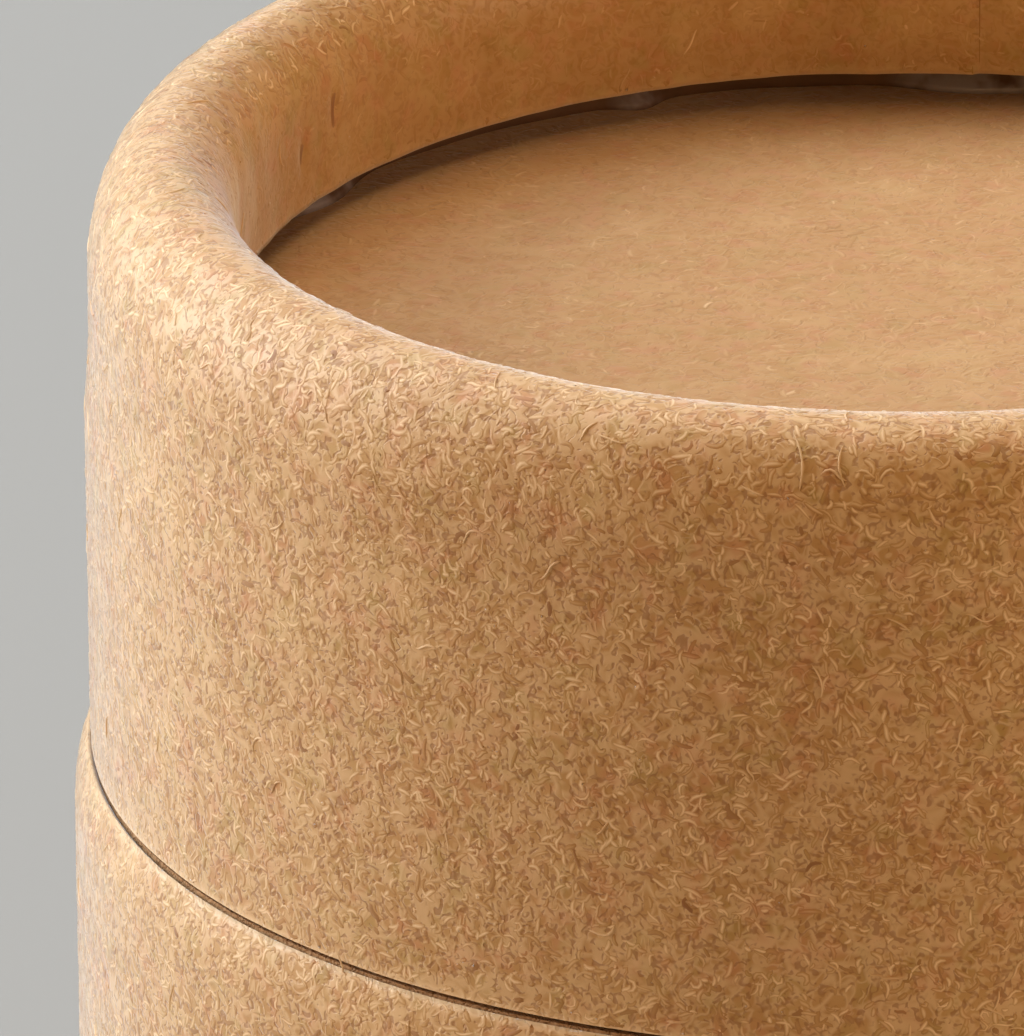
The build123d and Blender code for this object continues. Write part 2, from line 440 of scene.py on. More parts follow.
def make_paper(name, colours, curl, relief, crest_highlight_gain, furrow_shade_gain, sheen, roughness):
    """Kraft paper with its own colours, curl size in millimetres and depth of relief."""
    material, tree, shader, place = start_material(name)
    pulp = use_group(tree, pulp_group, {"Vector": place, **colours})
    fibres = use_group(tree, relief_group, {"Vector": place, "Curl Size mm": curl, "Grain": 0.1})
    pressed = add(tree, "Attribute", attribute_name="pressed").outputs["Fac"]
    loose = sums(tree, "MULTIPLY_ADD", pressed, -PRESSED_AWAY, 1.0)
    crest = sums(tree, "MULTIPLY", fibres.outputs["Crest"], loose)
    furrow = sums(tree, "MULTIPLY", fibres.outputs["Furrow"], loose)
    # Painted highlight on the crests, painted shade in the furrows.
    pale = blend_colours(tree, sums(tree, "MULTIPLY", crest, crest_highlight_gain),
                         pulp.outputs["Color"], PALE_HIGHLIGHT_AND_WEAR)
    dark = blend_colours(tree, sums(tree, "MULTIPLY", furrow, furrow_shade_gain), pale, PAINTED_SHADE_BROWN)
    # The cut edges go pale: partly wear, partly a painted highlight.
    edge = add(tree, "Attribute", attribute_name="wear_and_highlight").outputs["Fac"]
    wear_and_highlight = blend_colours(tree, sums(tree, "MULTIPLY", edge, EDGE_WEAR_AND_HIGHLIGHT_PALENESS), dark, PALE_HIGHLIGHT_AND_WEAR)
    link_surface(tree, shader, wear_and_highlight, fibres.outputs["Height"], relief, loose)
    rough = ramp(tree, fibres.outputs["Height"], -0.5, 1.2, roughness + 0.1, roughness - 0.08)
    tree.links.new(rough, shader.inputs["Roughness"])
    set_plain(shader, Specular_IOR_Level=0.5, Sheen_Weight=sheen, **SHEEN)
    return material


kraft = make_paper("kraft_paper", WALL_COLOURS, curl=1.15, relief=0.014 * MM, crest_highlight_gain=0.38,
                   furrow_shade_gain=0.58, sheen=1.0, roughness=0.58)
panel_kraft = make_paper("panel_kraft", PANEL_COLOURS, curl=1.6, relief=0.016 * MM,
                         crest_highlight_gain=0.08, furrow_shade_gain=0.15, sheen=0.4, roughness=0.66)
print("paper finishes:", kraft.name, panel_kraft.name)

# %% [markdown]
# ## Loose fibres
# The fibres are made of the same pulp as the sheet, so they take the sheet's own clouds. Each
# modelled fibre also carries a tone from 0 to 1 on its points. At one half it changes nothing.
# Its feet have a low tone, which is brown: painted shade where the fibre meets the sheet. Its
# crest has a high one, a painted highlight, drawn for each fibre, so that the fibres also differ
# at random. The tone runs smoothly between them over the fibre.

# %% Make the fibre finish
def make_fibre_finish(name, colours, sheen):
    """The pulp's colour, darker or paler by tone, with a faint gloss: painted shade at a low tone,
    painted highlight at a high one.
    """
    material, tree, shader, place = start_material(name)
    pulp = use_group(tree, pulp_group, {"Vector": place, **colours})
    tone = add(tree, "Attribute", attribute_name="tone").outputs["Fac"]
    # Low tones paint shade, high tones paint a highlight.
    browned = sums(tree, "MULTIPLY_ADD", tone, -2.0, 1.0, clamp=True)
    paled = sums(tree, "MULTIPLY_ADD", tone, 2.0, -1.0, clamp=True)
    brown = blend_colours(tree, browned, pulp.outputs["Color"], PAINTED_SHADE_BROWN)
    straw = blend_colours(tree, paled, brown, PALE_HIGHLIGHT_AND_WEAR)
    tree.links.new(straw, shader.inputs["Base Color"])
    set_plain(shader, Roughness=0.60, Specular_IOR_Level=0.5, Sheen_Weight=sheen, **SHEEN)
    return material


fibre_finish = make_fibre_finish("loose_fibre", WALL_COLOURS, 1.0)
panel_fibre_finish = make_fibre_finish("panel_fibre", PANEL_COLOURS, 0.4)
print("fibre finishes:", fibre_finish.name, panel_fibre_finish.name)

# %% [markdown]
# ## Wound board
# The plies are brown recycled board, and their cut edges show thin layers. These are drawn as
# fine bands by radius, from a sine of the distance from the tube's axis, which is bent a little
# by a noise. Upright faces follow one radius, so they stay plain: the normal's Z tells them.

# %% Make the board
BOARD_BETWEEN = (0.33, 0.18, 0.08, 1)
BOARD_FACE = (0.44, 0.26, 0.125, 1)
BOARD_PIT_SHADE = (0.20, 0.10, 0.04, 1)
LAYER_THICKNESS = 0.17 * MM
LAYER_WANDER = 0.25 * MM


def make_board():
    """Wound board with thin layers that show at its cut edges."""
    material, tree, shader, place = start_material("wound_board")
    fibres = use_group(tree, relief_group, {"Vector": place, "Curl Size mm": 0.7, "Grain": 0.8})
    parts = add(tree, "SeparateXYZ", {"Vector": place})
    level = add(tree, "CombineXYZ", {"X": parts.outputs["X"], "Y": parts.outputs["Y"]})
    radius = add(tree, "VectorMath", {0: level.outputs[0]}, operation="LENGTH").outputs["Value"]
    wander = noise(tree, place, 180.0, 2.0)
    turned = sums(tree, "MULTIPLY_ADD", wander, LAYER_WANDER, radius)
    layers = sums(tree, "SINE", sums(tree, "MULTIPLY", turned, 2 * math.pi / LAYER_THICKNESS))
    facing = add(tree, "SeparateXYZ", {"Vector": add(tree, "NewGeometry").outputs["Normal"]})
    upright = sums(tree, "SUBTRACT", 1.0, sums(tree, "ABSOLUTE", facing.outputs["Z"]))
    shade = sums(tree, "MAXIMUM", ramp(tree, layers, -0.6, 0.8), upright)
    colour = blend_colours(tree, shade, BOARD_BETWEEN, BOARD_FACE)
    # The relief's pits are painted darker: painted shade in them.
    pit_shade = sums(tree, "MULTIPLY", fibres.outputs["Furrow"], 0.4)
    colour = blend_colours(tree, pit_shade, colour, BOARD_PIT_SHADE)
    link_surface(tree, shader, colour, fibres.outputs["Height"], 0.04 * MM)
    set_plain(shader, Roughness=0.85, Specular_IOR_Level=0.25)
    return material


board = make_board()
print("board:", len(board.node_tree.nodes), "nodes")

# %% [markdown]
# ## Lining and glue
# The lining is a smoother calendered paper, so it takes the same two groups with paler colours and
# a fainter relief. The glue is painted nearly black and brown, a painted shade that keeps the slot
# round the panel dark. Where it has crept forwards it is softly glossy and painted grey, a painted
# glint in the slot. The bead says where, by its "crept" values.

# %% Make the lining and the glue
LINING_COLOURS = {"Base": (0.56, 0.36, 0.19, 1), "Rose": (0.56, 0.33, 0.17, 1),
                  "Olive": (0.52, 0.36, 0.17, 1), "Straw": (0.66, 0.47, 0.28, 1)}
GLUE_PAINTED_SHADE = (0.07, 0.030, 0.012, 1)
GLUE_PAINTED_SHADE_BROWN = (0.17, 0.085, 0.040, 1)
GLUE_PAINTED_GLINT = (0.30, 0.26, 0.27, 1)


def make_lining():
    """Smooth pale kraft with faint fibres."""
    material, tree, shader, place = start_material("lining_paper")
    pulp = use_group(tree, pulp_group, {"Vector": place, "Cloud Size mm": 3.0, **LINING_COLOURS})
    fibres = use_group(tree, relief_group, {"Vector": place, "Curl Size mm": 1.4})
    link_surface(tree, shader, pulp.outputs["Color"], fibres.outputs["Height"], 0.012 * MM)
    set_plain(shader, Roughness=0.6, Specular_IOR_Level=0.35)
    return material


def make_glue():
    """Dried glue: painted dark brown as shade, or painted grey as a glint and softly glossy where
    it has crept.
    """
    material, tree, shader, place = start_material("dry_glue")
    lumps = noise(tree, place, 700.0, 3.0)
    crept = add(tree, "Attribute", attribute_name="crept").outputs["Fac"]
    glint_patch = sums(tree, "MULTIPLY", crept, ramp(tree, lumps, 0.30, 0.60))
    # Painted shade over the whole bead, and a painted glint where it has crept.
    colour = blend_colours(tree, lumps, GLUE_PAINTED_SHADE, GLUE_PAINTED_SHADE_BROWN)
    colour = blend_colours(tree, glint_patch, colour, GLUE_PAINTED_GLINT)
    link_surface(tree, shader, colour, lumps, 0.08 * MM)
    tree.links.new(ramp(tree, glint_patch, 0.0, 1.0, 0.75, 0.32), shader.inputs["Roughness"])
    set_plain(shader, Specular_IOR_Level=0.4)
    return material


lining = make_lining()
glue = make_glue()
print("hidden finishes:", board.name, lining.name, glue.name)

# %% [markdown]
# ## Skins turned from an outline
# Wrap, tuck and rim are one sheet of paper. Its outline, seen in section, is turned about the
# tube's axis. The turning is written out as a grid of points, because each point then knows how
# far along the paper it lies, and small waves, wrinkles and the lap seam can be added to it by
# formula. A modifier would hide these places. The outline is made of quarter ovals for the
# bends and of straight stretches.

# %% Bends and straights
def quarter(centre, half_axes, start, steps):
    """Points on a quarter oval, clockwise from the start angle in degrees."""
    turn = np.radians(start - np.linspace(0, 90, steps))
    return np.stack([centre[0] + half_axes[0] * np.cos(turn),
                     centre[1] + half_axes[1] * np.sin(turn)], axis=1)


def straight(start, end, step):
    """Points on a straight stretch, without its last one."""
    start, end = np.array(start, float), np.array(end, float)
    count = max(1, int(round(np.linalg.norm(end - start) / step)))
    return start + (end - start) * np.linspace(0, 1, count + 1)[:-1, None]


def along_outline(outline):
    """Distance of each point along the outline."""
    steps = np.linalg.norm(np.diff(outline, axis=0), axis=1)
    return np.concatenate([[0], np.cumsum(steps)])


shoulder_bend = quarter((0, 0), RIM["shoulder"], 90, 40)
print("the rim's shoulder: %.2f mm round its bend" % (along_outline(shoulder_bend)[-1] / MM))

# %% [markdown]
# ## The curled walls
# The rim and the foot are the same curl with other measures. From the tuck's tip the paper runs
# over the brow, across the flat if there is one, over the shoulder and down the wall. The bends
# get finer steps than the straight stretches, and the wide shoulder gets more of them than the
# brow. The lid's wall ends square, and the base's leans inwards at its edge.

# %% Outline of a curled wall
BROW_FINENESS = 1.5
SHOULDER_FINENESS = 1.3
EDGE_POINTS = 9


def curled_outline(curl, depth, wall_end, step):
    """Radius and height below the crown, from the tuck's tip to the wall's end."""
    brow_wide, brow_high = curl["brow"]
    shoulder_wide, shoulder_high = curl["shoulder"]
    crown_radius = curl["radius"] - shoulder_wide
    brow_centre = (crown_radius - curl["flat"], -brow_high)
    shoulder_centre = (crown_radius, -shoulder_high)
    tuck_radius = brow_centre[0] - brow_wide + depth
    brow_steps = max(4, int(round(BROW_FINENESS * brow_wide / step)))
    parts = [straight((tuck_radius, -curl["tuck"]), (tuck_radius, -brow_high), step),
             quarter(brow_centre, (brow_wide - depth, brow_high - depth), 180, brow_steps)[:-1]]
    if curl["flat"] > 0:
        parts.append(straight((brow_centre[0], -depth), (crown_radius, -depth), step))
    parts.append(quarter(shoulder_centre, (shoulder_wide - depth, shoulder_high - depth), 90,
                         int(brow_steps * SHOULDER_FINENESS))[:-1])
    parts.append(wall_end(curl["radius"] - depth, -shoulder_high, step))
    return np.concatenate(parts)


def square_end(height):
    """A wall that runs straight to its cut."""
    def points(radius, start, step):
        body = straight((radius, start), (radius, height), step)
        return np.concatenate([body, [[radius, height]]])
    return points


def drawn_in_end(height):
    """A wall whose last stretch leans inwards on an arc."""
    arc_radius = (EDGE_RUN ** 2 + EDGE_DROP ** 2) / (2 * EDGE_RUN)

    def points(radius, start, step):
        bend = height + EDGE_DROP
        body = straight((radius, start), (radius, bend), step)
        rise = np.linspace(0, 1, EDGE_POINTS) * EDGE_DROP
        lean = arc_radius - np.sqrt(arc_radius ** 2 - rise ** 2)
        arc = np.stack([radius - lean, bend - rise], axis=1)
        return np.concatenate([body, arc])
    return points


INSET = 0.04 * MM
lid_skin = curled_outline(RIM, INSET, square_end(LID_BOTTOM - CROWN), 0.22 * MM)
body_skin = curled_outline(FOOT, INSET, drawn_in_end(-BODY_TOP), 0.90 * MM)
for label, outline in (("lid", lid_skin), ("base", body_skin)):
    print(label, "paper: %.1f mm in %d points" % (along_outline(outline)[-1] / MM, len(outline)))

# %% [markdown]
# ## Unevenness
# No rolled tube is quite even. Its paper has long soft waves and shorter ones, fine wrinkles
# where it was curled, and a few local dents. Each is a formula of the angle and of the place
# along the paper, which counts from the tuck's tip. The waves are seeded sums of cosines with
# whole turns, so they close round the tube. A set of them is a count, a range of lengths and a
# height. Wrinkles run mostly along the tube, so their waves are stretched that way.

# %% Waves, wrinkles and dents
WRINKLES = (30, (1.2 * MM, 3.5 * MM), 0.022 * MM)
WRINKLE_STRETCH = 0.3
CURL_LENGTH = 9 * MM


def waves(seed, theta, along, count, lengths, height):
    """A gentle unevenness that closes round the tube: a sum of seeded waves."""
    rng = np.random.default_rng(seed)
    total = np.zeros(np.broadcast(theta, along).shape)
    for _ in range(count):
        length = rng.uniform(*lengths)
        heading = rng.uniform(0, math.pi)
        turns = round(2 * math.pi * LID_RADIUS / length * math.cos(heading))
        pace = 2 * math.pi / length * math.sin(heading)
        total += np.cos(turns * theta + pace * along + rng.uniform(0, 2 * math.pi))
    return height * total / math.sqrt(count)


def curl_wrinkles(seed, theta, along):
    """The wrinkles of the curled part, which fade down the wall."""
    share = np.clip(1 - along / CURL_LENGTH, 0, 1)
    return share * waves(seed, theta, along * WRINKLE_STRETCH, *WRINKLES)


def turned_from(theta, azimuth):
    """The angle from an azimuth in degrees, the shorter way round."""
    return np.angle(np.exp(1j * (theta - math.radians(azimuth))))


def bump_at(theta, along, azimuth, place, width, length, height):
    """A smooth local dent or swelling."""
    across = turned_from(theta, azimuth) * LID_RADIUS
    return height * np.exp(-(across / width) ** 2 - ((along - place) / length) ** 2)


def eased(along, stations):
    """A height that runs smoothly through its stations, level at each, and 0 beyond them."""
    total = np.zeros(np.shape(along))
    for (near, first), (far, second) in zip(stations, stations[1:]):
        share = np.clip((along - near) / (far - near), 0, 1)
        total = total + (second - first) * share * share * (3 - 2 * share)
    return total


full_turn = np.linspace(0, 2 * math.pi, 361)
wrinkles = curl_wrinkles(3, full_turn, 0.0)
print("wrinkles at the lid's tuck: %.3f mm" % (np.abs(wrinkles).max() / MM))

# %% [markdown]
# ## The form of the lid's skin
# Each dent has an azimuth, a place along the paper, a width and a length. The rim's form and its
# fuller front corner are given as places and heights: the curling tool has drawn the wall in a
# little under the rim. The lap is the double strip where the sheet's end lies over its start.

# %% Relief of the lid
LID_SWELLS = (24, (5 * MM, 16 * MM), 0.010 * MM)
LID_RIPPLES = (24, (1.6 * MM, 4 * MM), 0.004 * MM)
TUCK_DENTS = ((150.5, 2.9 * MM, 0.35 * MM, 0.9 * MM), (156.0, 1.9 * MM, 0.30 * MM, 0.7 * MM),
              (148.0, 4.2 * MM, 0.5 * MM, 1.0 * MM), (131.0, 2.4 * MM, 0.6 * MM, 1.2 * MM),
              (97.0, 3.1 * MM, 0.5 * MM, 1.2 * MM), (62.0, 2.2 * MM, 0.5 * MM, 1.0 * MM))
DENT_DEPTH = 0.12 * MM
RIM_FORM = ((6.6 * MM, 0.0), (9.4 * MM, -0.10 * MM), (12.2 * MM, -0.17 * MM),
            (15.0 * MM, -0.17 * MM), (18.6 * MM, 0.0))
FRONT_CORNER = ((7.5 * MM, 0.0), (9.3 * MM, 0.13 * MM), (12.0 * MM, 0.0))
FRONT_AZIMUTH = -84.0
FRONT_SPREAD = math.radians(34.0)
LID_LAP_EDGE = 84.3
LAP_WIDTH = 7.0 * MM
LAP_RAMP_SHARE = 0.35


def lap(theta, edge_azimuth, radius):
    """1 where the paper lies double: a sharp edge, the overlap, and a slow ramp down."""
    past = np.mod(theta - math.radians(edge_azimuth), 2 * math.pi) * radius
    ramped = np.clip((LAP_WIDTH - past) / (LAP_RAMP_SHARE * LAP_WIDTH), 0, 1)
    return np.where(past < LAP_WIDTH, ramped, 0)


def lid_relief(theta, along, length):
    """How far the lid's skin stands out of its plain form."""
    total = waves(1, theta, along, *LID_SWELLS)
    total += eased(along, RIM_FORM)
    front = np.exp(-(turned_from(theta, FRONT_AZIMUTH) / FRONT_SPREAD) ** 2)
    total += eased(along, FRONT_CORNER) * front
    total += waves(2, theta, along, *LID_RIPPLES)
    total += curl_wrinkles(3, theta, along)
    for azimuth, place, width, reach in TUCK_DENTS:
        total += bump_at(theta, along, azimuth, place, width, reach, -DENT_DEPTH)
    return total + SEAM_LIFT * lap(theta, LID_LAP_EDGE, LID_RADIUS)


def print_form(label, skin, relief):
    """Says how far a skin stands out of its plain form."""
    along = along_outline(skin)
    form = relief(full_turn[None, :], along[:, None], along[-1]) / MM
    print(label, "skin: %.2f to %.2f mm out of its plain form" % (form.min(), form.max()))


print_form("lid's", lid_skin, lid_relief)

# %% [markdown]
# ## The form of the base's skin
# The base's paper is longer and calmer than the lid's. It has no dents, and its lap is pressed
# flat at the foot and at the upper edge.

# %% Relief of the base
BASE_SWELLS = (24, (6 * MM, 22 * MM), 0.012 * MM)
BASE_RIPPLES = (24, (1.8 * MM, 4 * MM), 0.004 * MM)
BODY_LAP_EDGE = 123.0
LAP_FOOT_GAP = 12 * MM
LAP_FOOT_RISE = 2 * MM
LAP_EDGE_GAP = 3 * MM
LAP_EDGE_RISE = 1.5 * MM


def body_relief(theta, along, length):
    """How far the base's skin, whose paper is this long, stands out of its plain form."""
    total = waves(4, theta, along, *BASE_SWELLS)
    total += waves(5, theta, along, *BASE_RIPPLES)
    total += curl_wrinkles(6, theta, along)
    free = np.clip((along - LAP_FOOT_GAP) / LAP_FOOT_RISE, 0, 1)
    free = free * np.clip((length - LAP_EDGE_GAP - along) / LAP_EDGE_RISE, 0, 1)
    return total + SEAM_LIFT * free * lap(theta, BODY_LAP_EDGE, BODY_RADIUS)


print_form("base's", body_skin, body_relief)

# %% [markdown]
# ## From arrays to a mesh
# These meshes have up to some hundred thousand faces. Blender takes whole arrays through
# foreach_set in a moment, where faces added one by one would take minutes. The faces of a turned
# grid follow from its numbers of rows and columns alone.

# %% Make a mesh from arrays
def grid_faces(rows, columns, close_rows):
    """Quads of a grid whose columns close round the tube, and its rows too if asked."""
    last = rows if close_rows else rows - 1
    row, column = np.meshgrid(np.arange(last), np.arange(columns), indexing="ij")
    beyond = (row + 1) % rows
    beside = (column + 1) % columns
    corners = [row * columns + column, beyond * columns + column,
               beyond * columns + beside, row * columns + beside]
    return np.stack(corners, axis=-1).reshape(-1, 4)


def mesh_from_arrays(name, points, faces, values, finish):
    """An object from arrays of points and faces, with smooth shading."""
    mesh = bpy.data.meshes.new(name)
    sides = faces.shape[1]
    mesh.vertices.add(len(points))
    mesh.vertices.foreach_set("co", np.asarray(points, np.float32).ravel())
    mesh.loops.add(faces.size)
    mesh.loops.foreach_set("vertex_index", faces.astype(np.int32).ravel())
    mesh.polygons.add(len(faces))
    mesh.polygons.foreach_set("loop_start", np.arange(len(faces), dtype=np.int32) * sides)
    mesh.update(calc_edges=True)
    mesh.validate()
    mesh.polygons.foreach_set("use_smooth", np.ones(len(mesh.polygons), bool))
    for key, numbers in values.items():
        attribute = mesh.attributes.new(key, "FLOAT", "POINT")
        attribute.data.foreach_set("value", np.asarray(numbers, np.float32).ravel())
    mesh.materials.append(finish)
    thing = bpy.data.objects.new(name, mesh)
    bpy.context.scene.collection.objects.link(thing)
    return thing


print("a closed grid of 3 by 4 points has", len(grid_faces(3, 4, True)), "faces")

# %% [markdown]
# ## The two skins
# A skin is its outer outline with the relief, and its inner outline straight back, turned as one
# closed section. It carries the two values that the paper's finish reads: how pale it is near a
# cut, partly from wear and partly as a painted highlight along the edge, and how far the curling
# tool has pressed it smooth.

# %% Turn a closed section
TURNS = 600
EDGE_WEAR_AND_HIGHLIGHT_REACH = 0.15 * MM
PRESSED_END = 8.0 * MM
PRESSED_FADE = 5.0 * MM


def outward_normals(outline):
    """Unit normals of the outline, on the paper's outer side."""
    slope = np.gradient(outline, axis=0)
    normal = np.stack([-slope[:, 1], slope[:, 0]], axis=1)
    return normal / np.linalg.norm(normal, axis=1)[:, None]


def turned_section(name, radius, height, place, values, finish):
    """A closed section turned about the axis: one row of points for each of its corners."""
    theta = np.linspace(0, 2 * math.pi, radius.shape[1], endpoint=False)
    points = np.stack([radius * np.cos(theta), radius * np.sin(theta), place(height)], axis=-1)
    faces = grid_faces(*radius.shape, True)
    if place(1.0) < place(0.0):
        faces = faces[:, ::-1]
    return mesh_from_arrays(name, points.reshape(-1, 3), faces, values, finish)


def turn_skin(name, outer, inner, relief, place, finish):
    """A closed sheet between two outlines, with its pressed values and its values for the pale cut
    edge, which is part wear and part painted highlight.
    """
    theta = np.linspace(0, 2 * math.pi, TURNS, endpoint=False)
    along = along_outline(outer)
    normal = outward_normals(outer)
    lift = relief(theta[None, :], along[:, None], along[-1])
    radius, height = (
        np.concatenate([outer[:, i, None] + lift * normal[:, i, None],
                        np.repeat(inner[::-1, i, None], TURNS, axis=1)]) for i in (0, 1))
    # Paler near each cut: partly wear, partly a painted highlight.
    from_cut = np.minimum(along, along[-1] - along)
    wear_and_highlight = np.concatenate([np.exp(-from_cut / EDGE_WEAR_AND_HIGHLIGHT_REACH), np.zeros(len(inner))])
    pressed = np.clip((PRESSED_END - along) / PRESSED_FADE, 0, 1)
    pressed = np.concatenate([pressed, np.ones(len(inner))])
    values = {"wear_and_highlight": np.repeat(wear_and_highlight, TURNS), "pressed": np.repeat(pressed, TURNS)}
    return turned_section(name, radius, height, place, values, finish)


upright = outward_normals(straight((1, 1), (1, 0), 0.5))
print("the outward normal of an upright wall:", upright[0])

# %% [markdown]
# ## The cuts of the paper
# Smooth shading would round off the lid's clean cut, so the two rings of points along it are
# marked sharp. The base's cut is feathered by wear: its inner outline ends a little lower, and
# its edges stay soft. Both outlines are drawn with the crown upwards, so the base's is placed
# upside down.

# %% Cut and place the two skins
FEATHER = 0.22 * MM


def edge_ends(mesh):
    """The two points of each edge."""
    ends = np.zeros(len(mesh.edges) * 2, np.int32)
    mesh.edges.foreach_get("vertices", ends)
    return ends.reshape(-1, 2)


def set_sharp(mesh, chosen):
    """Marks the chosen edges sharp."""
    sharp = mesh.attributes.new("sharp_edge", "BOOLEAN", "EDGE")
    sharp.data.foreach_set("value", chosen)


def crease_rows(mesh, rows):
    """Marks whole rings of a turned skin sharp, such as the two edges of its cut."""
    row = edge_ends(mesh) // TURNS
    set_sharp(mesh, (row[:, 0] == row[:, 1]) & np.isin(row[:, 0], rows))


def above(height):
    """Places an outline with its crown at the top of the lid."""
    return height + CROWN


def below(height):
    """Places an outline upside down, with its crown on the floor."""
    return -height


lid_back = curled_outline(RIM, PAPER, square_end(LID_BOTTOM - CROWN), 1.2 * MM)
body_back = curled_outline(FOOT, PAPER, drawn_in_end(FEATHER - BODY_TOP), 2.5 * MM)
lid_wrap = turn_skin("lid_wrap_skin", lid_skin, lid_back, lid_relief, above, kraft)
body_wrap = turn_skin("body_wrap_skin", body_skin, body_back, body_relief, below, kraft)
crease_rows(lid_wrap.data, [len(lid_skin) - 1, len(lid_skin)])
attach(lid_wrap, "lid")
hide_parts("lid_wrap")
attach(body_wrap, "base")
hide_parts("body_wrap")
print("skins:", len(lid_wrap.data.polygons), "and", len(body_wrap.data.polygons), "faces")

# %% [markdown]
# ## The sunk panels
# A panel's facing is a flat disc of the same paper. Its edge disappears under the tuck, so only
# the face needs care. It is given as rings of points, a little uneven, because board that has
# been glued and pressed is never quite flat.

# %% Build the panel facings
DISC_TURNS = 256
DISC_STEP = 0.45 * MM
FACE_SINK = 0.03 * MM
PANEL_SWELLS = (24, (6 * MM, 18 * MM), 0.012 * MM)


def make_disc(name, radius, face, back, seed, finish):
    """A closed disc whose face has a slight unevenness. The face may look up or down."""
    theta = np.linspace(0, 2 * math.pi, DISC_TURNS, endpoint=False)
    rings = np.linspace(DISC_STEP, radius, int(radius / DISC_STEP))
    outwards = 1 if face > back else -1
    sag = waves(seed, theta[None, :], rings[:, None], *PANEL_SWELLS)
    fade = np.clip(rings / (6 * MM) - 0.1, 0, 1)[:, None]
    front = face - outwards * (FACE_SINK - sag * fade)
    ring_radius = np.concatenate([rings, rings[::-1]])[:, None]
    ring_height = np.concatenate([front, np.full(front.shape, back)])
    grid = np.stack([ring_radius * np.cos(theta), ring_radius * np.sin(theta), ring_height],
                    axis=-1).reshape(-1, 3)
    middles = [(0, 0, face - outwards * FACE_SINK), (0, 0, back)]
    quads = grid_faces(len(ring_radius), DISC_TURNS, False)
    turn = np.arange(DISC_TURNS)
    beside = (turn + 1) % DISC_TURNS
    last = len(grid) - DISC_TURNS
    front_fan = np.stack([np.full(DISC_TURNS, len(grid)), turn, beside], axis=1)
    back_fan = np.stack([np.full(DISC_TURNS, len(grid) + 1), last + beside, last + turn], axis=1)
    faces = np.concatenate([quads[:, :3], quads[:, [0, 2, 3]], front_fan, back_fan])
    if outwards < 0:
        faces = faces[:, ::-1]
    return mesh_from_arrays(name, np.concatenate([grid, middles]), faces, {}, finish)


lid_facing = make_disc("lid_panel_skin", LID_PANEL_RADIUS, LID_PANEL_TOP,
                       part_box("lid_panel_facing")[0].z, 21, panel_kraft)
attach(lid_facing, "lid")
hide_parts("lid_panel_facing")
base_facing = make_disc("base_panel_skin", BASE_PANEL_RADIUS, BASE_PANEL_BOTTOM,
                        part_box("base_panel_facing")[1].z, 22, panel_kraft)
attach(base_facing, "base")
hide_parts("base_panel_facing")
print("panel skins:", len(lid_facing.data.polygons), "faces each")

# %% [markdown]
# ## The glue in the slots
# The panel is held by a bead of glue between it and the tip of the turned-in wall. The bead was
# laid by hand, so its front wanders, and here and there a tongue of it, given by its azimuth,
# width and reach, has crept forwards over the panel. It is a turned section like the skins. Its
# four front corners move with the angle, and each lies at its own share of the slot's height.

# %% Build the glue beads
BEAD_TURNS = 480
BEAD_DEPTH = 0.55 * MM
BEAD_WANDER = (20, (3 * MM, 9 * MM), 0.10 * MM)
BEAD_SHARES = np.array([0.0, 0.22, 0.6, 1.0, 1.0, 0.0])
BEAD_TOE = 0.12 * MM
BEAD_CHEST = 0.02 * MM
CREPT_REACH = 0.45 * MM
LID_TONGUES = ((148.6, 2.6 * MM, 0.85 * MM), (113.4, 1.1 * MM, 0.80 * MM),
               (84.5, 3.4 * MM, 0.95 * MM), (31.0, 2.2 * MM, 0.5 * MM),
               (-40.0, 1.8 * MM, 0.6 * MM), (-122.0, 2.4 * MM, 0.5 * MM))
BASE_TONGUES = ((-95.0, 2.6 * MM, 0.6 * MM), (20.0, 1.4 * MM, 0.5 * MM),
                (141.0, 3.0 * MM, 0.7 * MM))


def make_bead(name, cad_name, tongues, seed, place):
    """The bead of glue in one slot. Heights are below the crown, as for the skins."""
    low, high = (abs(place(0.0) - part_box(cad_name)[end].z) for end in (0, 1))
    near, far = -min(low, high), -max(low, high)
    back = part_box(cad_name)[1].x
    middle = back - BEAD_DEPTH
    theta = np.linspace(0, 2 * math.pi, BEAD_TURNS, endpoint=False)
    front = middle + waves(seed, theta, 0.0, *BEAD_WANDER)
    for azimuth, width, reach in tongues:
        front = front - bump_at(theta, 0.0, azimuth, 0.0, width, MM, reach)
    reach = middle - front
    straight_back = np.full(BEAD_TURNS, back)
    radius = np.stack([front - BEAD_TOE, front + BEAD_CHEST, middle - 0.25 * reach,
                       middle - 0.05 * reach, straight_back, straight_back])
    height = far + BEAD_SHARES[:, None] * (near - far) * np.ones(BEAD_TURNS)
    crept = np.clip(reach / CREPT_REACH - 0.5, 0, 1) * np.ones(radius.shape)
    return turned_section(name, radius, height, place, {"crept": crept}, glue)


lid_bead = make_bead("lid_glue_skin", "lid_glue_bead", LID_TONGUES, 51, above)
base_bead = make_bead("base_glue_skin", "base_glue_bead", BASE_TONGUES, 52, below)
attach(lid_bead, "lid")
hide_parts("lid_glue_bead")
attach(base_bead, "base")
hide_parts("base_glue_bead")
print("glue beads:", len(lid_bead.data.polygons), "faces each")

# %% [markdown]
# ## Fibres laid on the skin
# From close by, the embossed look of kraft comes from thousands of short fibres that lie half
# sunk in the sheet. A bump alone gives them no outline and no shadow, so they are modelled.
# Each one is a closed spindle with three sides, which tapers to its ends and winds a little as
# it goes. Its walk is done flat, in steps along and across the paper, and then wrapped onto the
# skin. A sheet is a class that knows how to wrap. The first kind is for turned skins.

# %% Turned sheets
EDGE_MARGIN = 0.12 * MM
SHEET_SAMPLES = 400


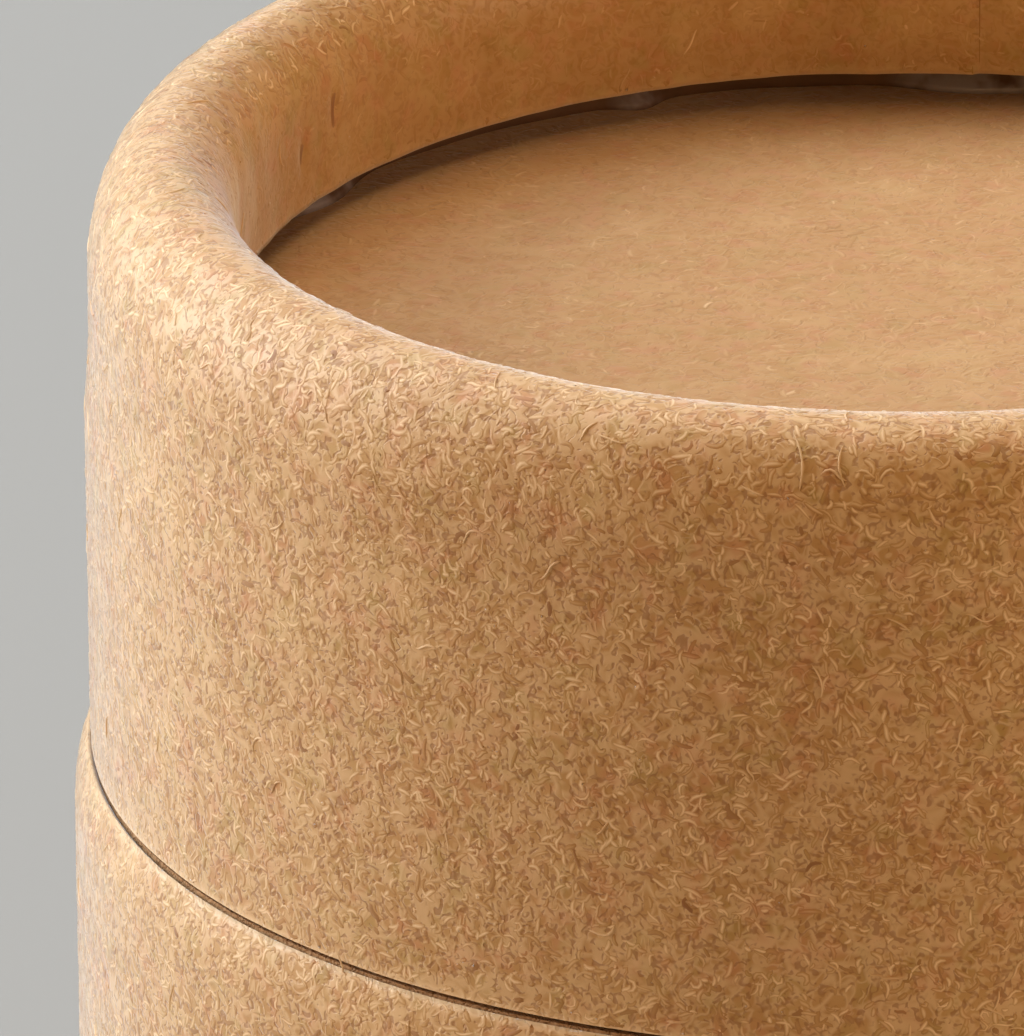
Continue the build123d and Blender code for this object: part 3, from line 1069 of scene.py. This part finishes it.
class TurnedSheet:
    """The outer side of a turned skin."""

    def __init__(self, outline, relief, place, flip):
        self.outline = outline
        self.along = along_outline(outline)
        self.normal = outward_normals(outline)
        self.relief = relief
        self.place = place
        self.flip = flip

    def radius_at(self, along):
        return np.interp(along, self.along, self.outline[:, 0])

    def area(self, start=0.0, end=1.0):
        steps = np.linspace(start, end, SHEET_SAMPLES) * self.along[-1]
        return 2 * math.pi * self.radius_at(steps).mean() * (end - start) * self.along[-1]

    def scatter(self, count, rng, start=0.0, end=1.0):
        """Random places, evenly spread over the paper between two shares of its length."""
        share = np.linspace(start, end, SHEET_SAMPLES)
        total = np.cumsum(self.radius_at(share * self.along[-1]))
        picked = np.interp(rng.random(count) * total[-1], total, share) * self.along[-1]
        return np.stack([rng.random(count) * 2 * math.pi, picked], axis=1)

    def wrap(self, anchors, across, along):
        """Points and outward normals for a walk from each anchor. At the sheet's edges a
        walk turns back."""
        far = self.along[-1] - EDGE_MARGIN
        reach = EDGE_MARGIN + np.abs(anchors[:, 1, None] + along - EDGE_MARGIN)
        reach = far - np.abs(far - reach)
        theta = anchors[:, 0, None] + across / self.radius_at(anchors[:, 1])[:, None]
        lift = self.relief(theta, reach, self.along[-1])
        out, up = (np.interp(reach, self.along, self.normal[:, i]) for i in (0, 1))
        ring = self.radius_at(reach) + lift * out
        height = self.place(np.interp(reach, self.along, self.outline[:, 1]) + lift * up)
        points = np.stack([ring * np.cos(theta), ring * np.sin(theta), height], axis=-1)
        normals = np.stack([out * np.cos(theta), out * np.sin(theta), self.flip * up], axis=-1)
        return points, normals


lid_sheet = TurnedSheet(lid_skin, lid_relief, above, 1)
body_sheet = TurnedSheet(body_skin, body_relief, below, -1)
print("paper on the lid %.0f, on the base %.0f mm2" % (
    lid_sheet.area() / MM ** 2, body_sheet.area() / MM ** 2))

# %% [markdown]
# ## Flat sheets
# A panel's face has no bends, so its walks are laid down as they are. The class has the same
# three methods as the first, and the same code can grow fibres on both kinds.

# %% Flat sheets
FACE_MARGIN = 1.0 * MM


class FlatSheet:
    """One face of a disc."""

    def __init__(self, radius, height, flip):
        self.radius = radius
        self.height = height
        self.flip = flip

    def area(self, start=0.0, end=1.0):
        return math.pi * self.radius ** 2 * (end ** 2 - start ** 2)

    def scatter(self, count, rng, start=0.0, end=1.0):
        ring = self.radius * np.sqrt(start ** 2 + rng.random(count) * (end ** 2 - start ** 2))
        theta = rng.random(count) * 2 * math.pi
        return np.stack([ring * np.cos(theta), ring * np.sin(theta)], axis=1)

    def wrap(self, anchors, across, along):
        x = anchors[:, 0, None] + across
        y = anchors[:, 1, None] + along * self.flip
        points = np.stack([x, y, np.full(x.shape, self.height)], axis=-1)
        normals = np.zeros(points.shape)
        normals[..., 2] = self.flip
        return points, normals


lid_face = FlatSheet(LID_PANEL_RADIUS - FACE_MARGIN, LID_PANEL_TOP - FACE_SINK, 1)
base_face = FlatSheet(BASE_PANEL_RADIUS - FACE_MARGIN, BASE_PANEL_BOTTOM + FACE_SINK, -1)
print("room for fibres on a panel: %.0f mm2" % (lid_face.area() / MM ** 2))

# %% [markdown]
# ## Walks and spindles
# A spindle has two feet and a crest at each station of its walk, between two pointed ends. The
# heading of a walk turns steadily, and swings once on the way, by amounts drawn for each fibre.

# %% Walk and number the spindles
def walk(rng, count, stations, lengths, bend):
    """Flat walks that wind: across and along, one row per fibre, centred on the anchor."""
    share = np.linspace(0, 1, stations)[None, :]
    length = rng.uniform(*lengths, count)[:, None]
    heading = rng.uniform(0, 2 * math.pi, count)[:, None]
    steady = rng.normal(0, bend, count)[:, None] * length
    swing = rng.normal(0, 0.5, count)[:, None]
    phase = rng.uniform(0, 2 * math.pi, count)[:, None]
    turn = heading + steady * share + swing * np.sin(2 * math.pi * share + phase)
    step = length / (stations - 1)
    across = np.cumsum(np.cos(turn) * step, axis=1)
    along = np.cumsum(np.sin(turn) * step, axis=1)
    middle = stations // 2
    return across - across[:, middle, None], along - along[:, middle, None]


def spindle_faces(count, stations):
    """Triangles of closed three-sided spindles with pointed ends."""
    inner = stations - 2
    points = 3 * inner + 2
    first, last = 3 * inner, 3 * inner + 1
    faces = []
    for side in range(3):
        beside = (side + 1) % 3
        for station in range(inner - 1):
            a, b = 3 * station + side, 3 * station + beside
            faces += [(a, b, b + 3), (a, b + 3, a + 3)]
        faces.append((first, beside, side))
        end = 3 * (inner - 1)
        faces.append((last, end + side, end + beside))
    shift = np.arange(count)[:, None, None] * points
    return (np.array(faces)[None] + shift).reshape(-1, 3)


print("a fibre of 7 stations has", len(spindle_faces(1, 7)), "triangles")

# %% [markdown]
# ## Pieces of fibres
# A fibre's feet are sunk a little, so it never floats, and their edges are sharp, so only its
# upper sides shade softly. The tone runs from the foot's own to the crest's, which is drawn from
# a mean and a spread.

# %% Spin the fibres
SINK = 0.012 * MM
TIP_WIDTH_SHARE = 0.25
SHORTEST = 1e-12


def crease_feet(mesh, stations):
    """Marks the edges along and between the feet sharp."""
    inner = stations - 2
    local = edge_ends(mesh) % (3 * inner + 2)
    corner = np.where(local < 3 * inner, local % 3, 3)
    low, high = corner.min(axis=1), corner.max(axis=1)
    set_sharp(mesh, (low < 2) & ((high == low) | (high == 3)))


def spin(name, sheet, anchors, across, along, rng, widths=(0.18 * MM, 0.32 * MM),
         heights=(0.010 * MM, 0.030 * MM), tones=(0.80, 0.24), foot=0.18, finish=fibre_finish):
    """One piece of spindles for given walks."""
    count, stations = across.shape
    points, normals = sheet.wrap(anchors, across, along)
    heading = np.gradient(points, axis=1)
    side = np.cross(normals, heading)
    side /= np.linalg.norm(side, axis=2, keepdims=True) + SHORTEST
    share = np.linspace(0, 1, stations)
    swell = np.sqrt(np.clip(4 * share * (1 - share), 0, 1))[None, :, None]
    taper = TIP_WIDTH_SHARE + (1 - TIP_WIDTH_SHARE) * swell
    width = rng.uniform(*widths, count)[:, None, None] * taper / 2
    height = rng.uniform(*heights, count)[:, None, None] * swell
    sunk = points - normals * SINK
    corners = [sunk - side * width, sunk + side * width, points + normals * height]
    body = np.stack(corners, axis=2)[:, 1:-1].reshape(count, -1, 3)
    ends = np.stack([sunk[:, 0], sunk[:, -1]], axis=1)
    cloud = np.concatenate([body, ends], axis=1).reshape(-1, 3)
    # The feet take the low foot tone, painted shade. The crests take a tone drawn for each fibre,
    # mostly high: a painted highlight with random differences.
    tone = np.full((count, 3 * (stations - 2) + 2), foot)
    crest_tone = np.clip(rng.normal(*tones, count), 0, 1)[:, None]
    tone[:, 2:-2:3] = foot + (crest_tone - foot) * swell[0, 1:-1, 0]
    faces = spindle_faces(count, stations)
    thing = mesh_from_arrays(name, cloud, faces, {"tone": tone}, finish)
    crease_feet(thing.data, stations)
    return thing


print("feet sunk by %.3f mm, tips %.0f%% as wide as the middle" % (SINK / MM,
                                                                  100 * TIP_WIDTH_SHARE))

# %% [markdown]
# ## Covering a sheet
# A stretch of a sheet gets so many fibres to the square millimetre. Their places are drawn for
# the whole stretch and then shared out over pieces, each small enough to export whole.

# %% Cover a stretch of a sheet
MOST_TRIANGLES = 190000


def grow(name, sheet, anchors, seed, stations, lengths=(0.28 * MM, 1.00 * MM), bend=2.4 / MM,
         **look):
    """One piece of many half-sunk fibres on a sheet."""
    rng = np.random.default_rng(seed)
    across, along = walk(rng, len(anchors), stations, lengths, bend)
    return spin(name, sheet, anchors, across, along, rng, **look)


def cover(name, sheet, body, slot, density, seed, stations=7, start=0.0, end=1.0, **look):
    """Fibres over a stretch of a sheet, so many to the square millimetre, split into pieces of
    an exportable size."""
    count = int(density * sheet.area(start, end) / MM ** 2)
    triangles = 6 * (stations - 3) + 6
    pieces = math.ceil(count * triangles / MOST_TRIANGLES)
    rng = np.random.default_rng(seed)
    anchors = sheet.scatter(count, rng, start, end)
    for number, part in enumerate(np.array_split(anchors, pieces), 1):
        piece = grow("%s_%d" % (name, number), sheet, part, seed + 100 * number, stations, **look)
        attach(piece, body)
    print(name, count, "fibres in", pieces, "pieces")


print("a piece holds at most", MOST_TRIANGLES // len(spindle_faces(1, 7)), "such fibres")

# %% [markdown]
# ## The fibres of each stretch
# There are few and flat ones in the smooth tuck and on the panels, and more and higher ones on
# the walls. The base's low wall has plainer ones, and long strays lie over all.

# %% Grow the fibres
STRAYS = {"lengths": (0.8 * MM, 1.5 * MM), "widths": (0.09 * MM, 0.13 * MM), "foot": 0.5,
          "heights": (0.04 * MM, 0.06 * MM), "bend": 1.0 / MM, "tones": (0.85, 0.12)}
SMOOTH = {"heights": (0.006 * MM, 0.016 * MM), "tones": (0.56, 0.08)}
TUCK_SHARE = 0.17
BODY_TOP_SHARE = 0.78
cover("lid_tuck_fibres", lid_sheet, "lid", "kraft_paper", 3.0, 38, stations=6, end=TUCK_SHARE,
      foot=0.36, **SMOOTH)
cover("lid_fibres", lid_sheet, "lid", "kraft_paper", 4.6, 31, start=TUCK_SHARE)
cover("lid_strays", lid_sheet, "lid", "kraft_paper", 0.06, 36, stations=9, **STRAYS)
cover("body_fibres_low", body_sheet, "base", "kraft_paper", 2.4, 32, stations=5,
      end=BODY_TOP_SHARE, bend=1.5 / MM)
cover("body_fibres_top", body_sheet, "base", "kraft_paper", 4.4, 33, start=BODY_TOP_SHARE)
cover("body_strays", body_sheet, "base", "kraft_paper", 0.05, 37, stations=9, **STRAYS)
cover("lid_panel_fibres", lid_face, "lid", "panel_kraft", 2.6, 34, stations=6, foot=0.44,
      finish=panel_fibre_finish, **SMOOTH)
cover("base_panel_fibres", base_face, "base", "panel_kraft", 2.0, 35, stations=5, foot=0.44,
      finish=panel_fibre_finish, **SMOOTH)

# %% [markdown]
# ## Lines laid one by one
# A few marks have a place of their own: two creases where the curling tool pinched the tuck, laid
# as dark strips that paint the shade in the tuck's dents, a thin dark line at each lap's edge,
# which paints the shadow of the step where the sheet's end lies over its start, and some long pale
# fibres that have come loose. Each is laid like a fibre, from one azimuth and place along the
# paper to another, with a slight bow.
# The last fibre bridges the groove. It stands on the base's edge, on an upright sheet of its own.

# %% Lay the single lines
def lay(name, sheet, body, lines, stations, width, height, tone, foot):
    """One piece of lines: azimuth and place of their start, the same of their end, and bow."""
    first, start, last, end, bow = np.array(lines).T[:, :, None]
    share = np.linspace(0, 1, stations)
    across = np.radians(last - first) * LID_RADIUS * share + bow * np.sin(math.pi * share)
    anchors = np.concatenate([np.radians(first), start], axis=1)
    thing = spin(name, sheet, anchors, across, (end - start) * share, np.random.default_rng(0),
                 (width, width), (height, height), (tone, 0.0), foot)
    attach(thing, body)
    print(name, len(lines), "lines")


LID_LAP_LINE = LID_LAP_EDGE - 0.35
BODY_LAP_LINE = BODY_LAP_EDGE - 0.65
BRIDGE_RADIUS = BODY_RADIUS - EDGE_RUN + 0.02 * MM
bridge = np.array([[BRIDGE_RADIUS, BODY_TOP + 0.7 * MM], [BRIDGE_RADIUS, BODY_TOP - 0.4 * MM]])
bridge_sheet = TurnedSheet(bridge, lambda theta, along, length: 0 * theta,
                           lambda height: height, 1)
lid_end = lid_sheet.along[-1] - 0.2 * MM
lap_end = body_sheet.along[-1] - LAP_EDGE_GAP
# Dark strips: painted shade in the tuck's dents.
lay("lid_creases_painted_shade", lid_sheet, "lid",
    [(150.5, 2.2 * MM, 150.2, 3.6 * MM, 0.06 * MM), (156.2, 1.6 * MM, 155.8, 2.4 * MM, 0.0)],
    stations=12, width=0.62 * MM, height=0.036 * MM, tone=0.0, foot=0.34)
# A dark line: the painted shadow of the lap's step.
lay("lid_lap_painted_shadow", lid_sheet, "lid",
    [(LID_LAP_LINE, 0.1 * MM, LID_LAP_LINE, lid_end, 0.03 * MM)],
    stations=80, width=0.13 * MM, height=0.03 * MM, tone=0.10, foot=0.3)
# A dark line: the painted shadow of the lap's step.
lay("body_lap_painted_shadow", body_sheet, "base",
    [(BODY_LAP_LINE, LAP_FOOT_GAP + MM, BODY_LAP_LINE, lap_end, 0.04 * MM)],
    stations=160, width=0.10 * MM, height=0.03 * MM, tone=0.22, foot=0.36)
lay("lid_long_fibres", lid_sheet, "lid",
    [(-98.4, 8.4 * MM, -97.6, 10.6 * MM, 0.25 * MM),
     (-94.6, 8.8 * MM, -94.3, 10.4 * MM, -0.2 * MM),
     (-85.2, 28.4 * MM, -83.6, 28.9 * MM, 0.2 * MM),
     (-84.6, 28.7 * MM, -84.0, 27.8 * MM, 0.1 * MM)],
    stations=12, width=0.10 * MM, height=0.05 * MM, tone=0.9, foot=0.5)
lay("bridging_fibre", bridge_sheet, "base", [(-132.2, 0.2 * MM, -131.6, 0.85 * MM, 0.06 * MM)],
    stations=8, width=0.10 * MM, height=0.03 * MM, tone=0.9, foot=0.6)

# %% [markdown]
# ## Finishes of the pieces that stay
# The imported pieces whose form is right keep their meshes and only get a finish.

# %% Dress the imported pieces
FINISHES = {"ply": board, "board": board, "lining": lining, "facing": panel_kraft,
            "bead": glue, "wrap": kraft}
for node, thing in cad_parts.items():
    finish = FINISHES[node.split("_")[-1]]
    thing.data.materials.clear()
    thing.data.materials.append(finish)
print("dressed", len(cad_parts), "packed pieces")
